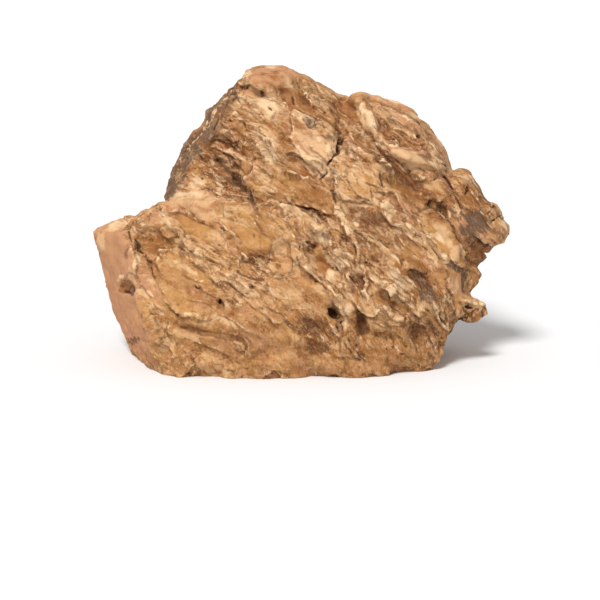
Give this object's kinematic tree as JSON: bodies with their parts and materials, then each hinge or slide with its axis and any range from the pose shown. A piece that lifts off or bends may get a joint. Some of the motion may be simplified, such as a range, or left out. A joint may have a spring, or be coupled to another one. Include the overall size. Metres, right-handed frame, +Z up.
{
  "type": "dragon stone",
  "caption": "Large weathered clay stone with a peak, a shoulder on each side, ledges and pits, for decorating an aquarium or terrarium. It rests on its flat underside.",
  "frame": {"origin": "on the ground under the middle of the stone's box", "axes": "+Z up, +X along the stone's width, and the main face looks towards -Y"},
  "size_m": [0.314, 0.1692, 0.2162],
  "materials": {
    "ochre_clay": "dull weathered clay stone, cream on the worn edges and brown in the hollows"
  },
  "bodies": {
    "root": {"dragon_stone": "ochre_clay"}
  },
  "joints": []
}
